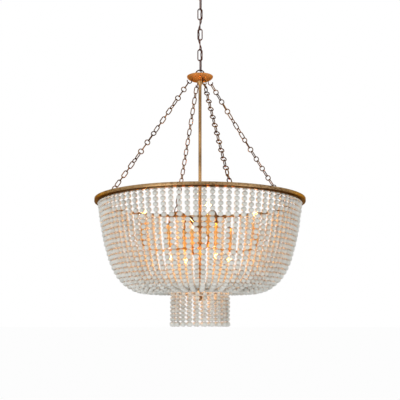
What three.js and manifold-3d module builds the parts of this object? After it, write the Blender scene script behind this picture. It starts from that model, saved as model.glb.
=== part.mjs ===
import * as THREE from 'three';
import { mergeVertices } from 'three/addons/utils/BufferGeometryUtils.js';
import Module from 'manifold-3d';

// A chandelier: a hoop hung on four chains from a small hub, with strands of beads
// that drape from the hoop to a bottom collar, a short tail of beads below it, and
// candle lights inside. Lengths are in millimetres and +Z is up. The origin is in
// the middle of the ceiling bracket's top face. The front, azimuth zero, is -Y, and
// azimuth grows towards +X.

// Clearances, shared by every piece.
const clearance = 0.3;
const weld = 0.4;
const strandSink = 1.5;
const sameCorner = 0.001;

// Ceiling end.
const canopyRadius = 65;
const canopyHeight = 30;
const canopyWall = 1.6;
const bracketLength = 100;
const bracketWidth = 22;
const bracketThickness = 2.5;
const bossRadius = 9;
const bossHeight = 10;
const nippleRadius = 5;
const nippleBore = 2.9;
const nippleEngagement = 7;
const collarRadius = 11;
const collarHeight = 8;
const canopyLoopRadius = 13;
const canopyLoopWire = 4;

// Top chain and supply cord.
const chainLinks = 7;
const linkLength = 49.7;
const linkWidth = 20.5;
const linkWire = 3.5;
const cordDiameter = 3.6;

// Hub.
const hubRadius = 51;
const hubRise = 4;
const hubDrop = 19.5;
const hubLoopRadius = 17;
const hubLoopWire = 4;
const hubLoopOpening = 18.6;
const hubBaseRadius = 19;
const hubBaseThickness = 2;
const shankRadius = 4.7;
const shankEngagement = 14;
const cordHoleSide = 4.5;
const cordHoleBehind = 7;
const hookWire = 3;
const hookLegRadius = 34;
const hookBendRadius = 9;
const hookBendDepth = 22;
const hookTipRise = 4;

// Stem.
const stemRadius = 6;
const stemWall = 1.3;
const flareRadius = 12;
const flareHeight = 19;

// Hoop, its ears and the chains that carry it.
const hubToHoop = 498.1;
const hoopRadius = 400;
const hoopBandHeight = 12;
const hoopWall = 2.5;
const hoopFlange = 28;
const earRadius = 8;
const earHoleRadius = 4;
const earThickness = 3;
const earReach = 48;
const earHoleRise = 5;
const hangerLinks = 25;
const hangerWire = 2.8;
const hangerWidth = 16.5;
const hangerRing = 22;
const hangerSag = 5;
const hangerAzimuth = 17;
const hangers = 4;

// Lights.
const lights = 4;
const armTube = 8;
const armCollarRadius = 13;
const armCollarHeight = 22;
const cupRadius = 13;
const cupHeight = 5;
const sleeveRadius = 10.5;
const sleeveBore = 8;
const holderDepth = 20;
const uprightRadius = 215;
const uprightAzimuth = 8;
const uprightSleeve = 70;
const uprightDrop = 149.9;
const hangingRadius = 128;
const hangingAzimuth = 28;
const hangingSleeve = 84;
const hangingDrop = 94.9;
const bulbRadius = 16;
const bulbLength = 62;
const bulbBaseRadius = 6.2;

// Beads.
const beadDiameter = 20;
const strands = 84;
const panels = 6;
const strandInset = 22;
const drapeAboveRod = 12;
const drapeOutsideTail = 8;
const stripWidth = 12;
const stripThickness = 1.5;
const strandInStrip = 0.4;
const tailBead = 18.6;
const tailCircle = 104;
const tailDepth = 469.9;
const tailGroups = 6;
const tailStrandsPerGroup = 4;
const tailAzimuth = 2.5;
const tailStripWidth = 6;
const tailStripThickness = 3;
const rodWire = 5;
const rodDepth = 349.9;
const spokes = 3;
const spokeWire = 5;
const collarBossRadius = 12;
const collarBossHeight = 12;
const eyeletWire = 2;
const eyeletSlack = 1.2;
const finialRadius = 9;
const finialLength = 18;
const finialSocket = 6;

const strandCircle = hoopRadius - strandInset;
const drapeDepth = rodDepth - drapeAboveRod;
const drapeEnd = tailCircle + drapeOutsideTail;

// Candles stand on their arms' cups, so an arm follows these shares, chosen by hand:
// the share of the way out from the stem, and the share of the height below the cup.
const uprightArm = {
  height: 35,
  shares: [[0, 0.3], [0.3, 0.75], [0.62, 1], [0.88, 0.8], [1, 0.35], [1, 0]],
};
const hangingArm = {
  height: 46,
  shares: [[0, -0.2], [0.24, 0.3], [0.47, 0.82], [0.73, 1], [0.94, 0.72], [1, 0.32], [1, 0]],
};

// Shares of the strand circle and of the drape's depth, down one strand to where it
// lies flat and runs in to its end.
const drapeShares = [[0.966, 0.298], [0.913, 0.559], [0.829, 0.799], [0.709, 0.944], [0.587, 1]];

// How the suspension chains are twisted, chosen by hand: shares of the way down, and
// of a quarter turn there.
const hangerTwistShares = [
  [[0, 0], [0.13, 1], [0.87, 1], [1, 0]],
  [[0, 0], [0.17, 0], [0.3, 1], [0.41, 1], [0.56, 0], [1, 0]],
  [[0, 0], [1, 0]],
  [[0, 0], [0.13, 0], [0.25, 1], [0.38, 1], [0.52, 0], [0.61, 0], [0.74, 1], [0.87, 1], [1, 0]],
];

// Shares of a bulb's radius and of its glass length.
const bulbShares = [[0.5, 0.04], [0.86, 0.18], [1, 0.38], [0.92, 0.6], [0.55, 0.84], [0.2, 0.97]];

// The cord's route: sideways and frontways from the chain's middle line, then the
// share of the way down from the canopy loop's collar to the hub's base disc.
const cordRoute = [
  [0, 0, 0.0058], [0, 0, 0.029], [2.4, 2.4, 0.0484], [4.6, 4.6, 0.0726], [4.7, 4.7, 0.116],
  [4.6, 4.6, 0.1929], [4.6, 4.6, 0.2266], [3.5, 0, 0.2727], [4.6, -4.6, 0.3131], [4.6, -4.6, 0.3564],
  [0, -3.5, 0.3934], [-4.6, -4.6, 0.4333], [-4.6, -4.6, 0.4766], [-3.5, 0, 0.5141], [-4.6, 4.6, 0.5535],
  [-4.6, 4.6, 0.5968], [0, 3.5, 0.6352], [4.6, 4.6, 0.6737], [4.6, 4.6, 0.7169], [3.5, 0, 0.7554],
  [4.6, -4.6, 0.7939], [4.6, -4.6, 0.8371], [4.6, -5, 0.8852], [4.5, -6.5, 0.9189], [4.5, -7, 0.9429],
  [4.5, -7, 1],
];

// Facets: how many flat sides stand for a round one.
const facets = { ring: 48, rod: 36, large: 24, round: 12, small: 8, wire: 5, cord: 8, strand: 4, thin: 3 };
const curveSteps = { arm: 8, hook: 6, loop: 8, dome: 4, link: 12, hanger: 6, eyelet: 8, strip: 3, cord: 42 };

const wasm = await Module();
wasm.setup();

const finishes = {
  brass: { color: 0xb8884a, metalness: 0.9, roughness: 0.38 },
  bronze: { color: 0x6b4a2c, metalness: 0.85, roughness: 0.45 },
  hub: { color: 0xb9702c, metalness: 0.85, roughness: 0.42 },
  bead: { color: 0xd8d6cf, metalness: 0, roughness: 0.55 },
  cord: { color: 0x3a2216, metalness: 0, roughness: 0.6 },
  bulb: { color: 0xfff1d2, metalness: 0, roughness: 0.2 },
};

// Joining and cutting

function solidOf(geometry) {
  const bare = geometry.clone();
  bare.deleteAttribute('normal');
  bare.deleteAttribute('uv');
  const merged = mergeVertices(bare, sameCorner);
  return new wasm.Manifold(new wasm.Mesh({
    numProp: 3,
    vertProperties: merged.attributes.position.array,
    triVerts: new Uint32Array(merged.index.array),
  }));
}

function geometryOf(solid) {
  const mesh = solid.getMesh();
  const geometry = new THREE.BufferGeometry();
  geometry.setAttribute('position', new THREE.BufferAttribute(mesh.vertProperties, mesh.numProp));
  geometry.setIndex(new THREE.BufferAttribute(mesh.triVerts, 1));
  return geometry;
}

function fuse(...geometries) {
  return geometryOf(geometries.map(solidOf).reduce((whole, next) => whole.add(next)));
}

function cut(geometry, ...tools) {
  return geometryOf(tools.map(solidOf).reduce((whole, tool) => whole.subtract(tool), solidOf(geometry)));
}

// Shapes

// A turned piece round Z. The profile's points are [radius, height], counterclockwise
// when the radius runs to the right; it closes on itself or on the axis.
function turned(profile, sides) {
  const points = profile.map(([radius, height]) => new THREE.Vector2(radius, height));
  return new THREE.LatheGeometry(points, sides).rotateX(Math.PI / 2);
}

function ringProfile(inner, outer, low, high) {
  return [[inner, low], [outer, low], [outer, high], [inner, high], [inner, low]];
}

function rodProfile(radius, low, high) {
  return [[0, low], [radius, low], [radius, high], [0, high]];
}

function polygon(radius, sides) {
  const corners = Array.from({ length: sides }, (_, side) => {
    const angle = 2 * Math.PI * side / sides;
    return new THREE.Vector2(radius * Math.cos(angle), radius * Math.sin(angle));
  });
  return new THREE.Shape(corners);
}

function tube(points, radius, sides, steps) {
  const extrudePath = new THREE.CatmullRomCurve3(points, false, 'centripetal');
  return new THREE.ExtrudeGeometry(polygon(radius, sides), { steps, extrudePath, bevelEnabled: false });
}

// A flat slice of a ring, between two radii and two azimuths about +X.
function ringSlice(inner, outer, low, high, halfAngle, steps) {
  const shape = new THREE.Shape();
  shape.absarc(0, 0, outer, -halfAngle, halfAngle, false);
  shape.absarc(0, 0, inner, halfAngle, -halfAngle, true);
  const options = { depth: high - low, bevelEnabled: false, curveSegments: steps };
  return new THREE.ExtrudeGeometry(shape, options).translate(0, 0, low);
}

// A skin over rings of as many points each, closed by a flat cap at both ends.
function lofted(rings) {
  const count = rings[0].length;
  const triangles = [];
  for (let ring = 0; ring + 1 < rings.length; ring++) {
    for (let corner = 0; corner < count; corner++) {
      const near = ring * count + corner;
      const next = ring * count + (corner + 1) % count;
      triangles.push(near, next, next + count, near, next + count, near + count);
    }
  }
  const last = (rings.length - 1) * count;
  for (let corner = 1; corner + 1 < count; corner++) {
    triangles.push(0, corner + 1, corner);
    triangles.push(last, last + corner, last + corner + 1);
  }
  const geometry = new THREE.BufferGeometry().setFromPoints(rings.flat());
  geometry.setIndex(triangles);
  return geometry;
}

// An oval link of round wire in the XY plane, from a torus drawn out along Y.
function ovalLink(length, width, wire, sides, steps) {
  const link = new THREE.TorusGeometry((width - wire) / 2, wire / 2, sides, steps);
  const position = link.attributes.position;
  for (let index = 0; index < position.count; index++) {
    const step = index % (steps + 1);
    const side = step % (steps / 2) === 0 ? 0 : Math.sign(steps / 2 - step);
    position.setY(index, position.getY(index) + side * (length - width) / 2);
  }
  return link;
}

// Placing

const chandelier = new THREE.Group();
const lamp = new THREE.Group();
chandelier.add(lamp);

function add(parent, name, geometry, finish) {
  const mesh = new THREE.Mesh(geometry, new THREE.MeshStandardMaterial(finishes[finish]));
  mesh.name = name;
  parent.add(mesh);
  return mesh;
}

// Pieces made along +X are turned to their azimuth.
function turnTo(mesh, azimuth) {
  mesh.rotation.z = THREE.MathUtils.degToRad(azimuth - 90);
  return mesh;
}

function evenly(count, first) {
  return Array.from({ length: count }, (_, index) => first + 360 * index / count);
}

// Heights down the chain. Each piece hangs with the clearance on the wire below it.
const canopyUnderside = -canopyHeight;
const collarTop = canopyUnderside - clearance;
const collarBottom = collarTop - collarHeight;
const canopyLoopMiddle = collarBottom + canopyLoopWire / 2 - canopyLoopRadius;
const linkReach = (linkLength - linkWire) / 2;
const firstLinkTop = canopyLoopMiddle - canopyLoopRadius + (canopyLoopWire + linkWire) / 2 + clearance;
const linkPitch = 2 * linkReach - linkWire - clearance;
const firstLinkMiddle = firstLinkTop - linkReach;
const lastLinkBottom = firstLinkMiddle - (chainLinks - 1) * linkPitch - linkReach;
const hubLoopTop = lastLinkBottom + (hubLoopWire + linkWire) / 2 + clearance;
const hubBaseTop = hubLoopTop - hubLoopWire / 2 - hubLoopOpening;
const hubBaseBottom = hubBaseTop - hubBaseThickness;
const hubTop = hubBaseBottom - clearance;
const hubRim = hubTop - hubRise;
const hoopMiddle = hubRim - hubToHoop;
lamp.position.z = hoopMiddle;

// Inside the lamp's group heights count from the hoop's middle.
const rim = hubToHoop;

// Ceiling bracket, canopy and loop

function ceilingBracket() {
  const bar = new THREE.BoxGeometry(bracketLength, bracketWidth, bracketThickness);
  bar.translate(0, 0, -bracketThickness / 2);
  const bossFoot = -bracketThickness - bossHeight;
  const boss = turned(rodProfile(bossRadius, bossFoot, -bracketThickness / 2), facets.round);
  const boreTop = bossFoot + nippleEngagement + clearance;
  const bore = turned(rodProfile(nippleRadius + clearance, -canopyHeight, boreTop), facets.round);
  return cut(fuse(bar, boss), bore);
}

// The dome is a quarter ellipse, flat round the hole in its middle.
function canopyCup() {
  const hole = nippleRadius + clearance;
  const outer = [];
  const inner = [];
  for (let step = 0; step <= curveSteps.dome; step++) {
    const angle = Math.PI / 2 * step / curveSteps.dome;
    const reach = Math.cos(angle);
    const depth = Math.sin(angle);
    outer.push([hole + (canopyRadius - hole) * reach, -canopyHeight * depth]);
    inner.push([hole + (canopyRadius - canopyWall - hole) * reach, -(canopyHeight - canopyWall) * depth]);
  }
  return turned([...inner, ...outer.reverse(), inner[0]], facets.large);
}

function canopyLoop() {
  const top = -bracketThickness - bossHeight + nippleEngagement;
  const nipple = turned(rodProfile(nippleRadius, collarTop - weld, top), facets.round);
  const collar = turned(rodProfile(collarRadius, collarBottom, collarTop), facets.round);
  const steps = 2 * curveSteps.loop;
  const ring = new THREE.TorusGeometry(canopyLoopRadius, canopyLoopWire / 2, facets.wire, steps)
    .rotateX(Math.PI / 2).translate(0, 0, canopyLoopMiddle);
  const bore = turned(rodProfile(nippleBore, canopyLoopMiddle, 0), facets.small);
  return cut(fuse(nipple, collar, ring), bore);
}

add(chandelier, 'ceiling_bracket', ceilingBracket(), 'bronze');
add(chandelier, 'canopy', canopyCup(), 'brass');
add(chandelier, 'canopy_loop', canopyLoop(), 'bronze');

// Chain and cord

const linkGeometry = ovalLink(linkLength, linkWidth, linkWire, facets.wire, curveSteps.link)
  .rotateX(Math.PI / 2);
for (let index = 0; index < chainLinks; index++) {
  const link = add(chandelier, `chain_link_${index + 1}`, linkGeometry, 'bronze');
  link.position.z = firstLinkMiddle - index * linkPitch;
  link.rotation.z = index % 2 === 0 ? Math.PI / 2 : 0;
}

function supplyCord() {
  const low = hubBaseTop - hubBaseThickness + clearance;
  const points = cordRoute.map(([side, front, share]) => (
    new THREE.Vector3(side, -front, collarTop + (low - collarTop) * share)));
  return tube(points, cordDiameter / 2, facets.cord, curveSteps.cord);
}

add(chandelier, 'supply_cord', supplyCord(), 'cord');

// Hub

function hubLoop() {
  const top = rim + hubRise + clearance + hubBaseThickness;
  const middle = top + hubLoopOpening + hubLoopWire / 2 - hubLoopRadius;
  const base = turned(rodProfile(hubBaseRadius, top - hubBaseThickness, top), facets.round);
  const shankFoot = rim - hubDrop - clearance - shankEngagement;
  const shank = turned(rodProfile(shankRadius, shankFoot, top - hubBaseThickness / 2), facets.round);
  const footAngle = Math.asin((top - hubBaseThickness / 2 - middle) / hubLoopRadius);
  const points = Array.from({ length: curveSteps.loop + 1 }, (_, step) => {
    const angle = footAngle + (Math.PI - 2 * footAngle) * step / curveSteps.loop;
    return new THREE.Vector3(hubLoopRadius * Math.cos(angle), 0, middle + hubLoopRadius * Math.sin(angle));
  });
  const arch = tube(points, hubLoopWire / 2, facets.wire, curveSteps.loop);
  const holeFoot = top - 2 * hubBaseThickness;
  const holeTop = top + hubBaseThickness;
  const hole = turned(rodProfile(cordDiameter / 2 + clearance, holeFoot, holeTop), facets.small)
    .translate(cordHoleSide, cordHoleBehind, 0);
  return cut(fuse(base, shank, arch), hole);
}

// Half the height of an ellipse with the hub's radius, at a distance from the axis.
function hubCurve(height, radius) {
  return height * Math.sqrt(Math.max(0, 1 - (radius / hubRadius) ** 2));
}

function hubDish() {
  const bore = shankRadius + clearance;
  const steps = curveSteps.dome;
  const lower = [];
  const upper = [];
  for (let step = 0; step <= steps; step++) {
    const radius = bore + (hubRadius - bore) * Math.sin(Math.PI / 2 * step / steps);
    lower.push([radius, rim - hubCurve(hubDrop, radius)]);
    upper.push([radius, rim + hubCurve(hubRise, radius)]);
  }
  upper.pop();
  return turned([...lower, ...upper.reverse(), lower[0]], facets.large);
}

// A hook is a leg under the dish, half a turn outwards and a short open tip.
const hookBend = new THREE.Vector3(hookLegRadius + hookBendRadius, 0, rim - hookBendDepth);

function hubHook() {
  const wire = hookWire / 2;
  const legTop = rim - hubCurve(hubDrop, hookLegRadius - wire) - clearance;
  const bend = Array.from({ length: curveSteps.hook }, (_, step) => {
    const angle = Math.PI * step / (curveSteps.hook - 1);
    const out = new THREE.Vector3(-Math.cos(angle), 0, -Math.sin(angle));
    return out.multiplyScalar(hookBendRadius).add(hookBend);
  });
  const leg = new THREE.Vector3(hookLegRadius, 0, legTop);
  const tip = bend[bend.length - 1].clone().setZ(hookBend.z + hookTipRise);
  return tube([leg, ...bend, tip], wire, facets.wire, curveSteps.hook + 2);
}

add(lamp, 'hub_loop', hubLoop(), 'bronze');
add(lamp, 'hub_dish', hubDish(), 'hub');

// Hoop and ears

function hoop() {
  const inner = hoopRadius - hoopFlange;
  const low = -hoopBandHeight / 2;
  const high = hoopBandHeight / 2;
  const profile = [[inner, low], [hoopRadius, low], [hoopRadius, high], [hoopRadius - hoopWall, high],
    [hoopRadius - hoopWall, low + hoopWall], [inner, low + hoopWall], [inner, low]];
  return turned(profile, facets.ring);
}

const earHole = new THREE.Vector3(hoopRadius - earReach, 0, earHoleRise);

function hoopEar() {
  const wallFace = (hoopRadius - hoopWall) * Math.cos(Math.PI / facets.ring) - clearance;
  const foot = -hoopBandHeight / 2 + hoopWall + clearance;
  const shape = new THREE.Shape();
  shape.moveTo(wallFace, foot);
  shape.lineTo(wallFace, hoopBandHeight / 2);
  shape.absarc(earHole.x, earHole.z, earRadius, Math.PI / 2, 3 * Math.PI / 2, false);
  const hole = new THREE.Path();
  hole.absarc(earHole.x, earHole.z, earHoleRadius, 0, 2 * Math.PI, true);
  shape.holes.push(hole);
  const options = { depth: earThickness, bevelEnabled: false, curveSegments: facets.small / 2 };
  return new THREE.ExtrudeGeometry(shape, options).rotateX(Math.PI / 2).translate(0, earThickness / 2, 0);
}

// Suspension chains

// The value of a table of shares at one share, on the straight line between its rows.
function shareAt(shares, place) {
  const next = shares.findIndex(([row]) => row >= place);
  const [[before, low], [after, high]] = [shares[next - 1], shares[next]];
  return low + (high - low) * (place - before) / (after - before);
}

// Oval links and round rings in turn run from a hook's bend to an ear's hole, each a
// quarter turn from the last. A reach is from a link's middle to the flat inner side of
// its blunt end.
function hangerChain(twistShares) {
  const steps = curveSteps.hanger;
  const down = earHole.clone().sub(hookBend).normalize();
  const start = hookBend.clone().addScaledVector(down, hookBendRadius - hookWire / 2 - clearance);
  const holeReach = earHoleRadius * Math.cos(Math.PI / facets.small);
  const finish = earHole.clone().addScaledVector(down, clearance - holeReach);
  const lowered = start.clone().lerp(finish, 0.5);
  lowered.z -= 2 * hangerSag;
  const path = new THREE.QuadraticBezierCurve3(start, lowered, finish);
  const total = path.getLength();
  const blunt = Math.cos(Math.PI / steps);
  const inside = hangerWire / 2 * (1 - Math.cos(2 * Math.PI / facets.thin));
  const ringReach = (hangerRing / 2 - inside) * blunt;
  const rings = (hangerLinks - 1) / 2;
  const ovalReach = ((total - (hangerLinks - 1) * weld) / 2 - rings * ringReach) / (rings + 1);
  const length = hangerWidth + 2 * (ovalReach - (hangerWidth / 2 - inside) * blunt);
  const oval = ovalLink(length, hangerWidth, hangerWire, facets.thin, steps).rotateZ(Math.PI / 2);
  const ring = ovalLink(hangerRing, hangerRing, hangerWire, facets.thin, steps).rotateZ(Math.PI / 2);
  const links = Array.from({ length: hangerLinks }, (_, index) => {
    const odd = index % 2;
    const middle = ovalReach + index * (ovalReach + ringReach + weld);
    const place = middle / total;
    const along = path.getTangentAt(place);
    const turn = Math.PI / 2 * (shareAt(twistShares, place) + odd);
    const across = new THREE.Vector3(0, 1, 0).applyAxisAngle(along, turn);
    const matrix = new THREE.Matrix4().makeBasis(along, across, along.clone().cross(across));
    return (odd ? ring : oval).clone().applyMatrix4(matrix.setPosition(path.getPointAt(place)));
  });
  return fuse(...links);
}

add(lamp, 'hoop', hoop(), 'brass');
evenly(hangers, hangerAzimuth).forEach((azimuth, index) => {
  turnTo(add(lamp, `hub_hook_${index + 1}`, hubHook(), 'bronze'), azimuth);
  const chain = hangerChain(hangerTwistShares[index]);
  turnTo(add(lamp, `suspension_chain_${index + 1}`, chain, 'bronze'), azimuth);
  turnTo(add(lamp, `hoop_ear_${index + 1}`, hoopEar(), 'brass'), azimuth);
});

// Stem

const collarBossTop = -rodDepth + collarBossHeight / 2;
const collarBossBottom = collarBossTop - collarBossHeight;
const stemFoot = collarBossBottom - clearance - finialSocket;

function stem() {
  const top = rim - hubDrop - clearance;
  const bore = stemRadius - stemWall;
  const socket = shankRadius + clearance;
  const shoulder = top - shankEngagement - clearance;
  const flareShares = [[1, 0], [0.62, 0.3], [0.24, 0.66], [0, 1]];
  const flare = flareShares.map(([out, down]) => (
    [stemRadius + (flareRadius - stemRadius) * out, top - flareHeight * down])).reverse();
  return turned([[bore, stemFoot], [stemRadius, stemFoot], ...flare, [socket, top], [socket, shoulder],
    [bore, shoulder], [bore, stemFoot]], facets.round);
}

add(lamp, 'stem', stem(), 'brass');

// Lights

// Four arms in the XZ plane, turned round a collar on the stem, each with a cup.
function armCluster(reach, cupFace, points, up) {
  const collarMiddle = points[0].z;
  const bore = stemRadius + clearance;
  const collar = turned(ringProfile(bore, armCollarRadius, collarMiddle - armCollarHeight / 2,
    collarMiddle + armCollarHeight / 2), facets.round);
  const low = Math.min(cupFace, cupFace - up * cupHeight);
  const wide = up > 0 ? [[0, low], [cupRadius / 2, low], [cupRadius, low + cupHeight], [0, low + cupHeight]]
    : [[0, low], [cupRadius, low], [cupRadius / 2, low + cupHeight], [0, low + cupHeight]];
  const arm = fuse(tube(points, armTube / 2, facets.wire, curveSteps.arm),
    turned(wide, facets.small).translate(reach, 0, 0));
  const turnedArms = evenly(lights, 0).map((angle) => arm.clone().rotateZ(THREE.MathUtils.degToRad(angle)));
  return fuse(collar, ...turnedArms);
}

// Up is 1 for a cup whose candle stands on it and -1 for one whose candle hangs from it.
function armPoints(arm, reach, cupFace, up) {
  const foot = cupFace - up * cupHeight / 2;
  const start = (stemRadius + armCollarRadius) / 2;
  return arm.shares.map(([out, height]) => (
    new THREE.Vector3(start + (reach - start) * out, 0, foot - up * arm.height * height)));
}

function sleeve(length) {
  return turned([[0, 0], [sleeveRadius, 0], [sleeveRadius, length], [sleeveBore, length],
    [sleeveBore, length - holderDepth], [0, length - holderDepth]], facets.small);
}

function bulb() {
  const base = -holderDepth + clearance;
  const glass = bulbShares.map(([radius, height]) => [bulbRadius * radius, bulbLength * height]);
  const profile = [[0, base], [bulbBaseRadius, base], [bulbBaseRadius, 0], ...glass, [0, bulbLength]];
  return turned(profile, facets.small);
}

function addLights(kind, arm, reach, firstAzimuth, drop, length, up) {
  const cupFace = -drop - clearance * up;
  const cluster = armCluster(reach, cupFace, armPoints(arm, reach, cupFace, up), up);
  turnTo(add(lamp, `${kind}_arms`, cluster, 'brass'), firstAzimuth);
  evenly(lights, firstAzimuth).forEach((azimuth, index) => {
    const candle = new THREE.Group();
    lamp.add(candle);
    turnTo(candle, azimuth);
    const place = { sleeve: sleeve(length), bulb: bulb().translate(0, 0, length) };
    for (const [part, finish] of [['sleeve', 'brass'], ['bulb', 'bulb']]) {
      const mesh = add(candle, `${kind}_${part}_${index + 1}`, place[part], finish);
      mesh.position.set(reach, 0, -drop);
      mesh.rotation.x = up > 0 ? 0 : Math.PI;
    }
  });
}

addLights('upright', uprightArm, uprightRadius, uprightAzimuth, uprightDrop, uprightSleeve, 1);
addLights('hanging', hangingArm, hangingRadius, hangingAzimuth, hangingDrop, hangingSleeve, -1);

// Drape

// Corners of a strand's section: shares of its half depth outwards and half width sideways.
const strandCorners = [[1, 0], [-0.6, -1], [-0.6, 1]];
const flangeFoot = -hoopBandHeight / 2 - clearance;
const drapeStripFoot = flangeFoot - stripThickness;

// One strand down the XZ plane, three-sided, narrowed where the strands close up.
function drapeStrand() {
  const path = drapeShares.map(([radius, depth]) => (
    new THREE.Vector3(strandCircle * radius, 0, -drapeDepth * depth)));
  path.unshift(new THREE.Vector3(strandCircle, 0, drapeStripFoot + strandInStrip));
  path.push(new THREE.Vector3(drapeEnd, 0, -drapeDepth));
  const pitchShare = Math.PI / strands;
  const rings = path.map((point, index) => {
    const before = path[Math.max(index - 1, 0)];
    const after = path[Math.min(index + 1, path.length - 1)];
    const along = after.clone().sub(before).normalize();
    const outward = new THREE.Vector3(-along.z, 0, along.x).multiplyScalar(beadDiameter / 2);
    const half = Math.min(beadDiameter / 2, point.x * pitchShare - clearance / 2);
    return strandCorners.map(([out, side]) => (
      point.clone().addScaledVector(outward, out).add(new THREE.Vector3(0, half * side, 0))));
  });
  return lofted(rings);
}

function drapePanel() {
  const count = strands / panels;
  const pitch = 2 * Math.PI / strands;
  const halfAngle = Math.PI / panels - clearance / 2 / strandCircle;
  const strip = ringSlice(strandCircle - stripWidth / 2, strandCircle + stripWidth / 2,
    drapeStripFoot, flangeFoot, halfAngle, curveSteps.strip);
  const strand = drapeStrand();
  const row = Array.from({ length: count }, (_, index) => (
    strand.clone().rotateZ((index - (count - 1) / 2) * pitch)));
  return fuse(strip, ...row);
}

const panelGeometry = drapePanel();
evenly(panels, 180 / panels).forEach((azimuth, index) => {
  turnTo(add(lamp, `drape_panel_${index + 1}`, panelGeometry, 'bead'), azimuth);
});

// Bottom collar and finial

function bottomCollar() {
  const rod = Array.from({ length: facets.wire + 1 }, (_, side) => {
    const angle = 2 * Math.PI * (side % facets.wire) / facets.wire;
    return [tailCircle + rodWire / 2 * Math.cos(angle), -rodDepth + rodWire / 2 * Math.sin(angle)];
  });
  const boss = turned(ringProfile(stemRadius + clearance, collarBossRadius, collarBossBottom, collarBossTop),
    facets.round);
  const reach = tailCircle - (stemRadius + collarBossRadius) / 2;
  const firstAngle = tailAzimuth + 180 / tailGroups - 90;
  const bars = evenly(spokes, firstAngle).map((angle) => (
    new THREE.CylinderGeometry(spokeWire / 2, spokeWire / 2, reach, facets.wire).rotateZ(Math.PI / 2)
      .translate(tailCircle - reach / 2, 0, -rodDepth).rotateZ(THREE.MathUtils.degToRad(angle))));
  return fuse(turned(rod, facets.rod), boss, ...bars);
}

function finial() {
  const top = collarBossBottom - clearance;
  const foot = top - finialLength;
  const bore = stemRadius + clearance;
  const socket = stemFoot - clearance;
  return turned([[0, foot], [finialRadius / 2, foot], [finialRadius, (top + foot) / 2], [finialRadius, top],
    [bore, top], [bore, socket], [0, socket]], facets.round);
}

add(lamp, 'bottom_collar', bottomCollar(), 'bronze');
add(lamp, 'finial', finial(), 'brass');

// Tail

// Four strands on a strip that hangs on the collar's rod by two eyelets. The eyelets
// stand where the line through them passes over the group's centre of mass.
function tailGroup() {
  const step = 2 * Math.PI / (tailGroups * tailStrandsPerGroup);
  const angles = Array.from({ length: tailStrandsPerGroup }, (_, index) => (
    (index - (tailStrandsPerGroup - 1) / 2) * step));
  const meanShare = angles.reduce((sum, angle) => sum + Math.cos(angle), 0) / angles.length;
  const eyeletAngle = Math.acos(meanShare);
  const eyeletBore = (rodWire / 2 + eyeletSlack) / Math.cos(Math.PI / curveSteps.eyelet);
  const eyeletMiddle = -rodDepth - eyeletSlack + 2 * clearance;
  const stripTop = eyeletMiddle - eyeletBore - eyeletWire / 2;
  const stripFoot = stripTop - tailStripThickness;
  const halfAngle = angles[angles.length - 1] + step / 4;
  const strip = ringSlice(tailCircle - tailStripWidth / 2, tailCircle + tailStripWidth / 2,
    stripFoot, stripTop, halfAngle, curveSteps.strip);
  const eyelet = new THREE.TorusGeometry(eyeletBore + eyeletWire / 2, eyeletWire / 2, facets.thin,
    curveSteps.eyelet).rotateX(Math.PI / 2);
  const eyelets = [-eyeletAngle, eyeletAngle].map((angle) => (
    eyelet.clone().translate(tailCircle * Math.cos(angle), tailCircle * Math.sin(angle), eyeletMiddle)));
  const length = tailDepth + stripTop - strandSink;
  const row = angles.map((angle) => (
    new THREE.CylinderGeometry(tailBead / 2, tailBead / 2, length, facets.strand).rotateX(Math.PI / 2)
      .translate(tailCircle, 0, length / 2 - tailDepth).rotateZ(angle)));
  return fuse(strip, ...eyelets, ...row);
}

const tailGeometry = tailGroup();
evenly(tailGroups, tailAzimuth).forEach((azimuth, index) => {
  turnTo(add(lamp, `tail_group_${index + 1}`, tailGeometry, 'bead'), azimuth);
});

export default chandelier;
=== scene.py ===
import random
from math import acos, asin, cos, pi, radians, sin, sqrt, tau

import bmesh
import bpy
from mathutils import Matrix, Vector


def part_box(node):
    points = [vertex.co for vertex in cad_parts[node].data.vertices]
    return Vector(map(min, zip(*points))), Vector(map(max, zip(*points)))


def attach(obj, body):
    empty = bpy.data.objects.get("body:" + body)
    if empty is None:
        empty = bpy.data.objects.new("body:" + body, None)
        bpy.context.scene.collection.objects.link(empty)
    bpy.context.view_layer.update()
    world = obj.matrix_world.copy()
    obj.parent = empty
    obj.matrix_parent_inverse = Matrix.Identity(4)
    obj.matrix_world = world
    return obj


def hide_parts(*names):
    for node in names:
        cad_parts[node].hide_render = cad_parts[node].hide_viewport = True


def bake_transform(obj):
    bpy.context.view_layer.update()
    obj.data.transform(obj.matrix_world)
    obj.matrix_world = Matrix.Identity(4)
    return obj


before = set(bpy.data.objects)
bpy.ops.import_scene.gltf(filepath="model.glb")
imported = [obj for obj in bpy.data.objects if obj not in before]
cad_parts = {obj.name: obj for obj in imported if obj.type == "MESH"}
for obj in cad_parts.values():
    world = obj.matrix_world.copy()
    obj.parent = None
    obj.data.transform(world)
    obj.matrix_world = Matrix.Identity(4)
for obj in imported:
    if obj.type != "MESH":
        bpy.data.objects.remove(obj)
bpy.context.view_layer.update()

# A beaded chandelier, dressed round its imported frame. Metres, +Z up, the front is -Y.
# Azimuth zero is the front and grows towards +X. Radial pieces are made along +X.

scene = bpy.context.scene
sameSpot = 1e-6
fits = {"gap": 0.0003, "fineEdge": 0.0002, "softEdge": 0.0003, "broadEdge": 0.0004}

# Camera

cameraView = {"place": (0, -2.850, -1.3338), "tilt": 99.209, "lens": 68.02, "sensor": 36}

cameraData = bpy.data.cameras.new("camera")
cameraData.lens = cameraView["lens"]
cameraData.sensor_width = cameraView["sensor"]
cameraData.clip_end = 1000
camera = bpy.data.objects.new("camera", cameraData)
camera.location = cameraView["place"]
camera.rotation_euler = (radians(cameraView["tilt"]), 0, 0)
scene.collection.objects.link(camera)
scene.camera = camera
print("camera placed")

# Shared places, read from the frame


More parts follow.
